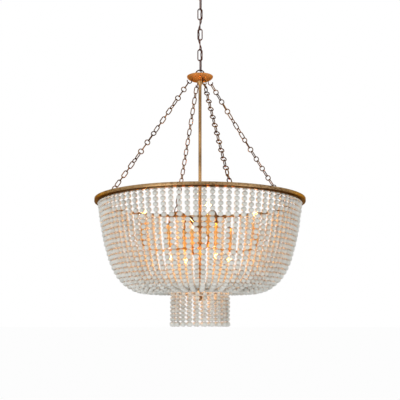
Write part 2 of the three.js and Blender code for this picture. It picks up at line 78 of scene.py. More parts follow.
def boxOf(node):
    low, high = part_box(node)
    return Vector(low), Vector(high)


hoopLow, hoopHigh = boxOf("hoop")
lampHeight = (hoopLow.z + hoopHigh.z) / 2
lampPlace = Matrix.Translation((0, 0, lampHeight))


def turnedTo(azimuth):
    return Matrix.Rotation(radians(azimuth - 90), 4, "Z")


# Materials

materials = {}


def newFinish(name, metallic, roughness):
    material = bpy.data.materials.new(name)
    material.use_nodes = True
    tree = material.node_tree
    shader = tree.nodes["Principled BSDF"]
    shader.inputs["Metallic"].default_value = metallic
    shader.inputs["Roughness"].default_value = roughness
    materials[name] = material
    place = tree.nodes.new("ShaderNodeTexCoord").outputs["Object"]
    return tree, shader, place


def noiseOf(tree, place, scale, detail, roughness=0.55, distortion=0.0):
    noise = tree.nodes.new("ShaderNodeTexNoise")
    noise.inputs["Scale"].default_value = scale
    noise.inputs["Detail"].default_value = detail
    noise.inputs["Roughness"].default_value = roughness
    noise.inputs["Distortion"].default_value = distortion
    tree.links.new(place, noise.inputs["Vector"])
    return noise.outputs["Fac"]


def spread(tree, value, low, high, bottom=0.0, top=1.0):
    node = tree.nodes.new("ShaderNodeMapRange")
    node.inputs["From Min"].default_value = low
    node.inputs["From Max"].default_value = high
    node.inputs["To Min"].default_value = bottom
    node.inputs["To Max"].default_value = top
    tree.links.new(value, node.inputs["Value"])
    return node.outputs["Result"]


def blendColours(tree, share, first, second):
    mix = tree.nodes.new("ShaderNodeMix")
    mix.data_type = "RGBA"
    tree.links.new(share, mix.inputs["Factor"])
    for socket, colour in ((mix.inputs["A"], first), (mix.inputs["B"], second)):
        if isinstance(colour, tuple):
            socket.default_value = (*colour, 1)
        else:
            tree.links.new(colour, socket)
    return mix.outputs["Result"]


def attributeOf(tree, name):
    node = tree.nodes.new("ShaderNodeAttribute")
    node.attribute_name = name
    return node.outputs["Fac"]


def product(tree, first, second):
    node = tree.nodes.new("ShaderNodeMath")
    node.operation = "MULTIPLY"
    for socket, value in zip(node.inputs, (first, second)):
        if isinstance(value, (int, float)):
            socket.default_value = value
        else:
            tree.links.new(value, socket)
    return node.outputs["Value"]


def bumpOf(tree, shader, height, distance, strength=1.0):
    bump = tree.nodes.new("ShaderNodeBump")
    bump.inputs["Distance"].default_value = distance
    bump.inputs["Strength"].default_value = strength
    tree.links.new(height, bump.inputs["Height"])
    tree.links.new(bump.outputs["Normal"], shader.inputs["Normal"])


# A rubbed metal: a light and a dark tone in slow clouds, a fine mottle, pale edges, and
# painted shade where a piece's own attribute puts it.
def metalFinish(name, light, dark, rubbed, clouds, mottle, mottling, roughness):
    tree, shader, place = newFinish(name, 1, roughness)
    shader.inputs["Specular Tint"].default_value = (*rubbed, 1)
    slow = spread(tree, noiseOf(tree, place, clouds, 1.5), 0.36, 0.64)
    tone = blendColours(tree, slow, light, dark)
    fine = spread(tree, noiseOf(tree, place, mottle, 5, 0.6, 0.4), 0.46, 0.74)
    tone = blendColours(tree, product(tree, fine, mottling), tone, dark)
    worn = product(tree, attributeOf(tree, "wear"), spread(tree, noiseOf(tree, place, mottle, 2), 0.35, 0.6))
    tone = blendColours(tree, worn, tone, rubbed)
    # Painted shade: where the attribute is set, the tone darkens towards the dark one.
    tone = blendColours(tree, product(tree, attributeOf(tree, "paintedShade"), 0.62), tone, dark)
    tree.links.new(tone, shader.inputs["Base Color"])
    rough = spread(tree, noiseOf(tree, place, mottle * 1.7, 4), 0.3, 0.75, roughness - 0.05, roughness + 0.07)
    tree.links.new(rough, shader.inputs["Roughness"])
    bumpOf(tree, shader, noiseOf(tree, place, mottle * 2.5, 3), 0.0002, 0.15)


metals = {
    "brass": {"light": (0.33, 0.19, 0.078), "dark": (0.095, 0.05, 0.022), "rubbed": (0.44, 0.29, 0.145),
              "clouds": 6, "mottle": 190, "mottling": 0.15, "roughness": 0.36},
    "candle": {"light": (0.62, 0.35, 0.12), "dark": (0.40, 0.20, 0.06), "rubbed": (0.72, 0.46, 0.20),
               "clouds": 14, "mottle": 190, "mottling": 0.2, "roughness": 0.36},
    "bronze": {"light": (0.15, 0.045, 0.018), "dark": (0.045, 0.013, 0.006), "rubbed": (0.30, 0.11, 0.05),
               "clouds": 40, "mottle": 200, "mottling": 0.4, "roughness": 0.4},
    "gilt": {"light": (0.23, 0.115, 0.036), "dark": (0.065, 0.03, 0.009), "rubbed": (0.38, 0.22, 0.08),
             "clouds": 30, "mottle": 200, "mottling": 0.35, "roughness": 0.38},
    "rod": {"light": (0.60, 0.50, 0.38), "dark": (0.36, 0.27, 0.18), "rubbed": (0.70, 0.61, 0.49),
            "clouds": 30, "mottle": 200, "mottling": 0.3, "roughness": 0.42},
    "hub": {"light": (0.54, 0.235, 0.066), "dark": (0.38, 0.155, 0.043), "rubbed": (0.60, 0.32, 0.12),
            "clouds": 24, "mottle": 60, "mottling": 0.12, "roughness": 0.62},
}
for metal, look in metals.items():
    metalFinish(metal, **look)


paint = {"roughness": 0.52, "clean": (0.84, 0.855, 0.815), "soiledAndShaded": (0.38, 0.36, 0.31),
         "chalk": (0.64, 0.60, 0.54), "chalking": 0.35, "wood": (0.50, 0.36, 0.25), "wear": 0.5,
         # hole: bare wood at the holes, and painted shade where neighbouring beads meet.
         "hole": (0.37, 0.205, 0.10)}


# Chalky paint over pale wood: tone changes from bead to bead, and each bead turns brown towards its holes,
# which shows bare wood at the hole and painted shade where the beads meet.
def beadFinish():
    tree, shader, place = newFinish("bead", 0, paint["roughness"])
    tone = blendColours(tree, attributeOf(tree, "tone"), paint["clean"], paint["soiledAndShaded"])
    chalk = spread(tree, noiseOf(tree, place, 260, 4), 0.35, 0.75)
    tone = blendColours(tree, product(tree, chalk, paint["chalking"]), tone, paint["chalk"])
    worn = spread(tree, noiseOf(tree, place, 95, 5, 0.6), 0.62, 0.68)
    tone = blendColours(tree, product(tree, worn, paint["wear"]), tone, paint["wood"])
    # Brown towards the holes: bare wood, and painted shade between neighbouring beads.
    tone = blendColours(tree, attributeOf(tree, "hole"), tone, paint["hole"])
    tree.links.new(tone, shader.inputs["Base Color"])
    shader.inputs["Specular IOR Level"].default_value = 0.35
    bumpOf(tree, shader, noiseOf(tree, place, 420, 3), 0.0003, 0.4)


beadFinish()


# Waxed thread through the beads.
def threadFinish():
    tree, shader, place = newFinish("thread", 0, 0.75)
    fibre = spread(tree, noiseOf(tree, place, 700, 3), 0.3, 0.7)
    tone = blendColours(tree, fibre, (0.55, 0.27, 0.10), (0.34, 0.16, 0.06))
    tree.links.new(tone, shader.inputs["Base Color"])


threadFinish()


# Fine cloth cover of the supply cord.
def cordFinish():
    tree, shader, place = newFinish("cord", 0, 0.62)
    strand = spread(tree, noiseOf(tree, place, 900, 2, 0.5), 0.35, 0.65)
    tone = blendColours(tree, strand, (0.045, 0.012, 0.006), (0.10, 0.030, 0.015))
    tree.links.new(tone, shader.inputs["Base Color"])
    bumpOf(tree, shader, strand, 0.0003, 0.6)


cordFinish()


# Lit flame bulbs: clear glass with a warm tint round a white-hot filament.
def bulbFinish(opacity, tint):
    tree, shader, place = newFinish("bulb", 0, 0.08)
    shader.inputs["Base Color"].default_value = (1.0, 0.9, 0.7, 1)
    shader.inputs["Transmission Weight"].default_value = 1
    shader.inputs["IOR"].default_value = 1.2
    shader.inputs["Emission Color"].default_value = (1.0, 0.62, 0.24, 1)
    shader.inputs["Emission Strength"].default_value = tint
    shader.inputs["Alpha"].default_value = opacity
    cloud = spread(tree, noiseOf(tree, place, 60, 1), 0.3, 0.7, 0.05, 0.14)
    tree.links.new(cloud, shader.inputs["Roughness"])


def filamentFinish(glow):
    tree, shader, place = newFinish("filament", 0, 0.5)
    shader.inputs["Base Color"].default_value = (1.0, 0.8, 0.5, 1)
    shader.inputs["Emission Strength"].default_value = glow
    heat = spread(tree, noiseOf(tree, place, 90, 1), 0.3, 0.7)
    tone = blendColours(tree, heat, (1.0, 0.74, 0.36), (1.0, 0.62, 0.24))
    tree.links.new(tone, shader.inputs["Emission Color"])


bulbFinish(0.13, 0.22)
filamentFinish(1.7)
print("finishes made")

# Making pieces


def asMesh(bm):
    bmesh.ops.remove_doubles(bm, verts=bm.verts, dist=sameSpot)
    bmesh.ops.recalc_face_normals(bm, faces=bm.faces)
    mesh = bpy.data.meshes.new("shape")
    bm.to_mesh(mesh)
    bm.free()
    return mesh


def put(bm, mesh, matrix=Matrix()):
    copy = mesh.copy()
    copy.transform(matrix)
    bm.from_mesh(copy)
    bpy.data.meshes.remove(copy)


def softenEdges(bm, width, angle=30, segments=2):
    wear = bm.verts.layers.float.get("wear") or bm.verts.layers.float.new("wear")
    bm.normal_update()
    sharp = [edge for edge in bm.edges if edge.is_manifold and edge.calc_face_angle() > radians(angle)]
    made = bmesh.ops.bevel(bm, geom=sharp, offset=width, offset_type="OFFSET", segments=segments,
                           profile=0.5, affect="EDGES", material=-1, clamp_overlap=True)
    for vert in made["verts"]:
        vert[wear] = 1


def turned(profile, steps=48, closed=False, soften=0):
    bm = bmesh.new()
    verts = [bm.verts.new((radius, 0, height)) for radius, height in profile]
    edges = [bm.edges.new(pair) for pair in zip(verts, verts[1:])]
    if closed:
        edges.append(bm.edges.new((verts[-1], verts[0])))
    bmesh.ops.spin(bm, geom=verts + edges, cent=(0, 0, 0), axis=(0, 0, 1), angle=tau, steps=steps,
                   use_merge=True)
    bmesh.ops.remove_doubles(bm, verts=bm.verts, dist=sameSpot)
    bmesh.ops.recalc_face_normals(bm, faces=bm.faces)
    if soften:
        softenEdges(bm, soften)
    return asMesh(bm)


def wire(points, radius, closed=False, sides=12):
    curve = bpy.data.curves.new("wire", "CURVE")
    curve.dimensions = "3D"
    curve.bevel_depth = radius
    curve.bevel_resolution = (sides - 4) // 2
    curve.use_fill_caps = not closed
    spline = curve.splines.new("POLY")
    spline.points.add(len(points) - 1)
    for spot, point in zip(spline.points, points):
        spot.co = (*point, 1)
    spline.use_cyclic_u = closed
    holder = bpy.data.objects.new("wire", curve)
    tube = bpy.data.meshes.new_from_object(holder)
    bpy.data.objects.remove(holder)
    bpy.data.curves.remove(curve)
    bm = bmesh.new()
    bm.from_mesh(tube)
    bpy.data.meshes.remove(tube)
    return asMesh(bm)


def smoothPath(points, perSpan):
    spots = [Vector(point) for point in points]
    spots = [spots[0] * 2 - spots[1], *spots, spots[-1] * 2 - spots[-2]]
    path = []
    for a, b, c, d in zip(spots, spots[1:], spots[2:], spots[3:]):
        first = sqrt((b - a).length)
        second = first + sqrt((c - b).length)
        third = second + sqrt((d - c).length)
        for step in range(perSpan):
            t = first + (second - first) * step / perSpan
            ab = a.lerp(b, t / first)
            bc = b.lerp(c, (t - first) / (second - first))
            cd = c.lerp(d, (t - second) / (third - second))
            abc = ab.lerp(bc, t / second)
            bcd = bc.lerp(cd, (t - first) / (third - first))
            path.append(abc.lerp(bcd, (t - first) / (second - first)))
    path.append(spots[-2])
    return path


def walk(path, distance):
    for start, finish in zip(path, path[1:]):
        step = (finish - start).length
        if distance <= step or finish is path[-1]:
            return start + (finish - start) * (distance / step), (finish - start).normalized()
        distance -= step


def lengthOf(path):
    return sum((finish - start).length for start, finish in zip(path, path[1:]))


def piece(bm, name, finish, body=None, replaced=(), sharp=40):
    bmesh.ops.remove_doubles(bm, verts=bm.verts, dist=sameSpot)
    bmesh.ops.recalc_face_normals(bm, faces=bm.faces)
    mesh = bpy.data.meshes.new(name)
    bm.to_mesh(mesh)
    bm.free()
    mesh.shade_smooth()
    mesh.set_sharp_from_angle(angle=radians(sharp))
    mesh.materials.append(materials[finish])
    made = bpy.data.objects.new(name, mesh)
    scene.collection.objects.link(made)
    if replaced:
        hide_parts(*replaced)
    if body:
        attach(made, body)
    return made


def pieceOf(mesh, name, finish, body, replaced=(), matrix=Matrix(), sharp=40):
    bm = bmesh.new()
    put(bm, mesh, matrix)
    return piece(bm, name, finish, body, replaced, sharp)


def evenly(count, first=0.0):
    return [first + 360 * index / count for index in range(count)]


# Supply cord, one stretch for each joint of the chain

supplyCord = {
    "radius": 0.0021, "perSpan": 8, "sides": 14, "bendReach": 0.011, "cutReach": 0.0004,
    # Millimetres to the right and to the front of the chain's line, then the share of the way down.
    "route": [
        (0, 0, 0.0058), (0, 0, 0.029), (2.4, 2.4, 0.0484), (4.6, 4.6, 0.0726), (4.7, 4.7, 0.116),
        (4.6, 4.6, 0.1929), (4.6, 4.6, 0.2266), (3.5, 0, 0.2727), (4.6, -4.6, 0.3131), (4.6, -4.6, 0.3564),
        (0, -3.5, 0.3934), (-4.6, -4.6, 0.4333), (-4.6, -4.6, 0.4766), (-3.5, 0, 0.5141),
        (-4.6, 4.6, 0.5535), (-4.6, 4.6, 0.5968), (0, 3.5, 0.6352), (4.6, 4.6, 0.6737), (4.6, 4.6, 0.7169),
        (3.5, 0, 0.7554), (4.6, -4.6, 0.7939), (4.6, -4.6, 0.8371), (4.6, -5, 0.8852), (4.5, -6.5, 0.9189),
        (4.5, -7, 0.9429), (4.5, -7, 1),
    ],
}
linkBoxes = [boxOf(f"chain_link_{number}") for number in range(1, 8)]
linkMiddles = [(low.z + high.z) / 2 for low, high in linkBoxes]


def cutAtHeight(path, height):
    for start, finish in zip(path, path[1:]):
        if finish.z <= height <= start.z:
            return start.lerp(finish, (start.z - height) / (start.z - finish.z))
    return path[-1]


def makeCord():
    low, high = boxOf("supply_cord")
    firstShare = supplyCord["route"][0][2]
    tall = (high.z - low.z) / (1 - firstShare)
    points = [(side / 1000, -front / 1000, low.z + (1 - share) * tall)
              for side, front, share in supplyCord["route"]]
    path = smoothPath(points, supplyCord["perSpan"])
    edges = [high.z, *linkMiddles, low.z]
    for index, (top, bottom) in enumerate(zip(edges, edges[1:])):
        reach = supplyCord["cutReach"]
        stretch = [point for point in path if bottom + reach < point.z < top - reach]
        stretch = [cutAtHeight(path, top) if index else path[0], *stretch, cutAtHeight(path, bottom)]
        mesh = wire(stretch, supplyCord["radius"], sides=supplyCord["sides"])
        made = pieceOf(mesh, f"cord_stretch_{index + 1}", "cord", None,
                       ["supply_cord"] if index == 0 else ())
        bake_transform(made)


makeCord()
print("cord made")

# Chain links

chainLink = {"length": 0.0509, "width": 0.0209, "wire": 0.0042, "bendSteps": 14, "sides": 14}


def linkPath(length, width, wireSize, bendSteps):
    bend = (width - wireSize) / 2
    straight = (length - width) / 2
    path = []
    for side in (1, -1):
        for step in range(bendSteps + 1):
            angle = pi * step / bendSteps
            path.append((side * bend * cos(angle), 0, side * (straight + bend * sin(angle))))
    return path


def makeChain():
    path = linkPath(chainLink["length"], chainLink["width"], chainLink["wire"], chainLink["bendSteps"])
    mesh = wire(path, chainLink["wire"] / 2, closed=True, sides=chainLink["sides"])
    for index, middle in enumerate(linkMiddles):
        turn = Matrix.Rotation(pi / 2, 4, "Z") if index % 2 == 0 else Matrix()
        pieceOf(mesh, f"link_wire_{index + 1}", "bronze", f"link_{index + 1}", [f"chain_link_{index + 1}"],
                Matrix.Translation((0, 0, middle)) @ turn)


makeChain()
print("chain made")

# Canopy and its loop

canopy = {"radius": 0.065, "height": 0.030, "wall": 0.0016, "hole": 0.0053, "steps": 14, "around": 96}
canopyRing = {"radius": 0.013, "wire": 0.004, "collarRadius": 0.011, "collarHeight": 0.008,
              "nipple": 0.005, "waist": 0.0085, "bend": 40, "sides": 14, "around": 40}


def makeCanopy():
    hole = canopy["hole"]
    wall = canopy["wall"]
    outer = []
    inner = []
    for step in range(canopy["steps"] + 1):
        angle = pi / 2 * step / canopy["steps"]
        for rim, offset in ((outer, 0), (inner, wall)):
            rim.append((hole + (canopy["radius"] - offset - hole) * cos(angle),
                        -(canopy["height"] - offset) * sin(angle)))
    mesh = turned([*inner, *reversed(outer)], canopy["around"], True, fits["broadEdge"])
    pieceOf(mesh, "canopy_cup", "hub", "canopy", ["canopy"])
    low, high = boxOf("canopy_loop")
    top = boxOf("canopy")[0].z - fits["gap"]
    bm = bmesh.new()
    radius = canopyRing["collarRadius"]
    nipple = canopyRing["nipple"]
    waist = canopyRing["waist"]
    height = canopyRing["collarHeight"]
    profile = [(0, high.z), (nipple, high.z), (nipple, top), (radius, top), (radius, top - height * 0.3),
               (waist, top - height * 0.55), (waist, top - height * 0.8), (waist * 0.8, top - height),
               (0, top - height)]
    put(bm, turned(profile, canopyRing["around"], False, fits["broadEdge"]))
    radius = canopyRing["radius"]
    middle = low.z + canopyRing["wire"] / 2 + radius
    angles = [tau * step / canopyRing["bend"] for step in range(canopyRing["bend"])]
    ring = [(radius * cos(angle), 0, middle + radius * sin(angle)) for angle in angles]
    put(bm, wire(ring, canopyRing["wire"] / 2, closed=True, sides=canopyRing["sides"]))
    piece(bm, "canopy_ring", "bronze", "canopy", ["canopy_loop"])
    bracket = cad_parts["ceiling_bracket"]
    bracket.material_slots[0].material = materials["bronze"]


makeCanopy()
print("canopy made")

# Hub: loop, dish and hooks

hub = {"radius": 0.051, "rise": 0.004, "drop": 0.0195, "steps": 16, "around": 72, "bore": 0.005,
       "loopRadius": 0.017, "loopWire": 0.004, "shownLoopWire": 0.0048, "loopOpening": 0.0186,
       "loopSteps": 24, "loopSides": 14, "baseRadius": 0.019, "baseThickness": 0.002, "baseAround": 48,
       "shank": 0.0047, "rimBand": 0.0012}
hook = {"wire": 0.003, "shownWire": 0.0037, "legRadius": 0.034, "bendRadius": 0.009, "bendDepth": 0.022,
        "bendSteps": 16, "sides": 12, "tipRise": 0.004, "azimuth": 17, "count": 4}
hubRim = boxOf("hub_dish")[0].z + hub["drop"] * sqrt(1 - (hub["bore"] / hub["radius"]) ** 2)
hookBend = Vector((hook["legRadius"] + hook["bendRadius"], 0, hubRim - hook["bendDepth"]))


def hubCurve(height, radius):
    return height * sqrt(max(0, 1 - (radius / hub["radius"]) ** 2))


def makeHub():
    bm = bmesh.new()
    lower = []
    upper = []
    for step in range(hub["steps"] + 1):
        radius = hub["bore"] + (hub["radius"] - hub["bore"]) * sin(pi / 2 * step / hub["steps"])
        lower.append((radius, hubRim - hubCurve(hub["drop"], radius)))
        upper.append((radius, hubRim + hubCurve(hub["rise"], radius)))
    lower[-1] = (hub["radius"], hubRim - hub["rimBand"] / 2)
    upper[-1] = (hub["radius"], hubRim + hub["rimBand"] / 2)
    put(bm, turned([*lower, *reversed(upper)], hub["around"], True, fits["softEdge"]))
    piece(bm, "hub_shell", "hub", "lamp", ["hub_dish"])
    bm = bmesh.new()
    low, high = boxOf("hub_loop")
    middle = high.z - hub["loopWire"] / 2 - hub["loopRadius"]
    top = high.z - hub["loopWire"] - hub["loopOpening"]
    foot = top - hub["baseThickness"]
    base = [(0, low.z), (hub["shank"], low.z), (hub["shank"], foot), (hub["baseRadius"], foot),
            (hub["baseRadius"], top), (0, top)]
    put(bm, turned(base, hub["baseAround"], False, fits["broadEdge"]))
    start = asin((foot + hub["baseThickness"] / 2 - middle) / hub["loopRadius"])
    steps = hub["loopSteps"]
    arch = [(hub["loopRadius"] * cos(angle), 0, middle + hub["loopRadius"] * sin(angle))
            for angle in (start + (pi - 2 * start) * step / steps for step in range(steps + 1))]
    put(bm, wire(arch, hub["shownLoopWire"] / 2, sides=hub["loopSides"]))
    piece(bm, "hub_arch", "bronze", "lamp", ["hub_loop"])


def makeHooks():
    top = hubRim - hubCurve(hub["drop"], hook["legRadius"] - hook["wire"] / 2) - fits["gap"]
    steps = hook["bendSteps"]
    bend = [hookBend + hook["bendRadius"] * Vector((-cos(angle), 0, -sin(angle)))
            for angle in (pi * step / steps for step in range(steps + 1))]
    tip = hookBend + Vector((hook["bendRadius"], 0, hook["tipRise"]))
    mesh = wire([Vector((hook["legRadius"], 0, top)), *bend, tip], hook["shownWire"] / 2, sides=hook["sides"])
    for index, azimuth in enumerate(evenly(hook["count"], hook["azimuth"])):
        pieceOf(mesh, f"hook_wire_{index + 1}", "bronze", "lamp", [f"hub_hook_{index + 1}"],
                turnedTo(azimuth))


makeHub()
makeHooks()
print("hub made")

# Hoop and ears

hoop = {"radius": 0.400, "height": 0.012, "wall": 0.0025, "flange": 0.028, "steps": 168, "edge": 0.0007,
        "solidSides": 48}
ear = {"reach": 0.048, "rise": 0.005, "radius": 0.008, "hole": 0.004, "thickness": 0.003, "sides": 24}
earHole = Vector((hoop["radius"] - ear["reach"], 0, ear["rise"] + lampHeight))


def makeHoop():
    inner = hoop["radius"] - hoop["flange"]
    low = -hoop["height"] / 2
    high = hoop["height"] / 2
    wall = hoop["wall"]
    radius = hoop["radius"]
    profile = [(inner, low), (radius, low), (radius, high), (radius - wall, high),
               (radius - wall, low + wall), (inner, low + wall)]
    mesh = turned(profile, hoop["steps"], True, hoop["edge"])
    # Painted shade: the band darkens from its top edge down to its lower edge.
    paintedShade = mesh.attributes.new("paintedShade", "FLOAT", "POINT")
    for vert, mark in zip(mesh.vertices, paintedShade.data):
        mark.value = (high - vert.co.z) / hoop["height"]
    pieceOf(mesh, "hoop_ring", "brass", "lamp", ["hoop"], lampPlace)


def makeEars():
    wallFace = (hoop["radius"] - hoop["wall"]) * cos(pi / hoop["solidSides"]) - fits["gap"]
    foot = -hoop["height"] / 2 + hoop["wall"] + fits["gap"]
    top = hoop["height"] / 2
    bm = bmesh.new()
    lay = Matrix.Translation((earHole.x, ear["thickness"] / 2, ear["rise"])) @ Matrix.Rotation(pi / 2, 4, "X")
    outer = bmesh.ops.create_circle(bm, segments=ear["sides"], radius=ear["radius"], matrix=lay)["verts"]
    inner = bmesh.ops.create_circle(bm, segments=ear["sides"], radius=ear["hole"], matrix=lay)["verts"]
    outerSet = set(outer)
    bmesh.ops.bridge_loops(bm, edges=bm.edges[:])
    wallSide = [edge for edge in bm.edges if all(vert in outerSet and vert.co.x > earHole.x - sameSpot
                                                 for vert in edge.verts)]
    drawn = bmesh.ops.extrude_edge_only(bm, edges=wallSide)["geom"]
    for vert in (item for item in drawn if isinstance(item, bmesh.types.BMVert)):
        share = (vert.co.z - ear["rise"] + ear["radius"]) / (2 * ear["radius"])
        vert.co.x = wallFace
        vert.co.z = foot + (top - foot) * share
    bmesh.ops.solidify(bm, geom=bm.faces[:], thickness=ear["thickness"])
    bmesh.ops.recalc_face_normals(bm, faces=bm.faces)
    softenEdges(bm, fits["softEdge"])
    mesh = asMesh(bm)
    lows = [vert.co.y for vert in mesh.vertices]
    middle = (min(lows) + max(lows)) / 2
    for index, azimuth in enumerate(evenly(hook["count"], hook["azimuth"])):
        pieceOf(mesh, f"ear_plate_{index + 1}", "brass", "lamp", [f"hoop_ear_{index + 1}"],
                lampPlace @ turnedTo(azimuth) @ Matrix.Translation((0, -middle, 0)))


makeHoop()
makeEars()
print("hoop made")

# Suspension chains

hanger = {"links": 25, "wire": 0.0028, "shownWire": 0.0040, "width": 0.0165, "ring": 0.022, "sag": 0.005,
          "pathSteps": 60, "weld": 0.0004, "bendSteps": 7, "sides": 8, "earSides": 8,
          # Shares of the way down, and of a quarter turn there.
          "twistShares": [
              [(0, 0), (0.13, 1), (0.87, 1), (1, 0)],
              [(0, 0), (0.17, 0), (0.3, 1), (0.41, 1), (0.56, 0), (1, 0)],
              [(0, 0), (1, 0)],
              [(0, 0), (0.13, 0), (0.25, 1), (0.38, 1), (0.52, 0), (0.61, 0), (0.74, 1), (0.87, 1), (1, 0)],
          ]}


def shareAt(shares, place):
    for (before, low), (after, high) in zip(shares, shares[1:]):
        if place <= after:
            return low + (high - low) * (place - before) / (after - before)


def linkMesh(length, width):
    outline = linkPath(length, width, hanger["wire"], hanger["bendSteps"])
    return wire(outline, hanger["shownWire"] / 2, closed=True, sides=hanger["sides"])


# Oval links and round rings in turn, each a quarter turn from the last.
def makeHangers():
    down = (earHole - hookBend).normalized()
    start = hookBend + down * (hook["bendRadius"] - hook["wire"] / 2 - fits["gap"])
    finish = earHole + down * (fits["gap"] - ear["hole"] * cos(pi / hanger["earSides"]))
    lowered = start.lerp(finish, 0.5) - Vector((0, 0, 2 * hanger["sag"]))
    steps = hanger["pathSteps"]
    path = [start.lerp(lowered, share).lerp(lowered.lerp(finish, share), share)
            for share in (step / steps for step in range(steps + 1))]
    total = lengthOf(path)
    count = hanger["links"]
    rings = (count - 1) // 2
    ringReach = hanger["ring"] / 2 - hanger["wire"]
    ovalReach = ((total - (count - 1) * hanger["weld"]) / 2 - rings * ringReach) / (rings + 1)
    oval = linkMesh(2 * (ovalReach + hanger["wire"]), hanger["width"])
    ring = linkMesh(hanger["ring"], hanger["ring"])
    for number, azimuth in enumerate(evenly(hook["count"], hook["azimuth"])):
        chain = bmesh.new()
        for index in range(count):
            middle = ovalReach + index * (ovalReach + ringReach + hanger["weld"])
            spot, along = walk(path, middle)
            turn = pi / 2 * (shareAt(hanger["twistShares"][number], middle / total) + index % 2)
            across = Matrix.Rotation(turn, 3, along) @ Vector((0, 1, 0))
            basis = Matrix((across, along.cross(across), along)).transposed().to_4x4()
            put(chain, ring if index % 2 else oval, Matrix.Translation(spot) @ basis)
        pieceOf(asMesh(chain), f"hanger_links_{number + 1}", "gilt", "lamp",
                [f"suspension_chain_{number + 1}"], turnedTo(azimuth))


makeHangers()
print("suspension chains made")

# Stem

stem = {"radius": 0.006, "wall": 0.0013, "flareRadius": 0.012, "flareHeight": 0.019,
        "around": 32, "socket": 0.005, "shoulder": 0.0143,
        "flareShares": [(1, 0), (0.62, 0.3), (0.24, 0.66), (0, 1)]}


def makeStem():
    low, high = boxOf("stem")
    flare = smoothPath([(stem["radius"] + (stem["flareRadius"] - stem["radius"]) * out, 0,
                         high.z - stem["flareHeight"] * down) for out, down in stem["flareShares"]], 5)
    bore = stem["radius"] - stem["wall"]
    profile = [(stem["socket"], high.z), *((point.x, point.z) for point in flare), (stem["radius"], low.z),
               (bore, low.z), (bore, high.z - stem["shoulder"]), (stem["socket"], high.z - stem["shoulder"])]
    mesh = turned(profile, stem["around"], True, fits["softEdge"])
    pieceOf(mesh, "stem_tube", "brass", "lamp", ["stem"])


makeStem()
print("stem made")

# Arms, sleeves and bulbs

lights = {
    "upright": {"reach": 0.215, "azimuth": 8, "drop": 0.1499, "length": 0.070, "up": 1, "height": 0.035,
                "finish": "candle",
                "shares": [(0, 0.3), (0.3, 0.75), (0.62, 1), (0.88, 0.8), (1, 0.35), (1, 0)]},
    "hanging": {"reach": 0.128, "azimuth": 28, "drop": 0.0949, "length": 0.084, "up": -1, "height": 0.046,
                "finish": "brass",
                "shares": [(0, -0.2), (0.24, 0.3), (0.47, 0.82), (0.73, 1), (0.94, 0.72), (1, 0.32), (1, 0)]},
}
armPart = {"radius": 0.004, "collar": 0.013, "collarHeight": 0.022, "collarAround": 40, "cup": 0.013,
           "cupHeight": 0.005, "perSpan": 8, "sides": 12, "count": 4}
sleevePart = {"radius": 0.0105, "bore": 0.008, "holder": 0.020, "around": 32}
bulbPart = {"radius": 0.016, "length": 0.062, "base": 0.0062,
            "shares": [(0.5, 0.04), (0.86, 0.18), (1, 0.38), (0.92, 0.6), (0.55, 0.84), (0.2, 0.97), (0, 1)],
            "filament": [(0, 0.48), (0.07, 0.49), (0.14, 0.53), (0.165, 0.59), (0.13, 0.65), (0.06, 0.70),
                         (0, 0.72)],
            "around": 24, "filamentAround": 16,
            "glowHeight": 0.6, "power": 0.6, "colour": (1.0, 0.40, 0.04), "lightRadius": 0.009}


def addGlow(name, body, place):
    data = bpy.data.lights.new(name, "POINT")
    data.energy = bulbPart["power"]
    data.color = bulbPart["colour"]
    data.shadow_soft_size = bulbPart["lightRadius"]
    data.specular_factor = 0.1
    glow = bpy.data.objects.new(name, data)
    glow.location = place
    scene.collection.objects.link(glow)
    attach(glow, body)


# A collar round the stem, swelling in its middle.
def armCollar(middle):
    half = armPart["collarHeight"] / 2
    radius = armPart["collar"]
    bore = stem["radius"] + fits["gap"]
    lower = [(bore, -half), (radius * 0.8, -half), (radius * 0.88, -half * 0.7), (radius, -half * 0.45)]
    upper = [(out, -height) for out, height in reversed(lower)]
    profile = [(out, middle + height) for out, height in lower + upper]
    return turned(profile, armPart["collarAround"], True, fits["broadEdge"])


def armCup(cupFace, up):
    back = cupFace - up * armPart["cupHeight"]
    wide = armPart["cup"]
    profile = [(0, back), (wide * 0.45, back), (wide * 0.6, back + up * 0.001),
               (wide * 0.88, back + up * 0.003), (wide, cupFace - up * 0.0008), (wide, cupFace), (0, cupFace)]
    return turned(profile, sleevePart["around"], False, fits["softEdge"])


def candleSleeve(length):
    radius = sleevePart["radius"]
    bore = sleevePart["bore"]
    seat = length - sleevePart["holder"]
    profile = [(0, 0), (radius, 0), (radius, length), (bore, length), (bore, seat), (0, seat)]
    return turned(profile, sleevePart["around"], False, fits["softEdge"])


def bulbCurve(shares, perSpan):
    points = [(bulbPart["radius"] * out, 0, bulbPart["length"] * height) for out, height in shares]
    return [(max(0, spot.x), spot.z) for spot in smoothPath(points, perSpan)]


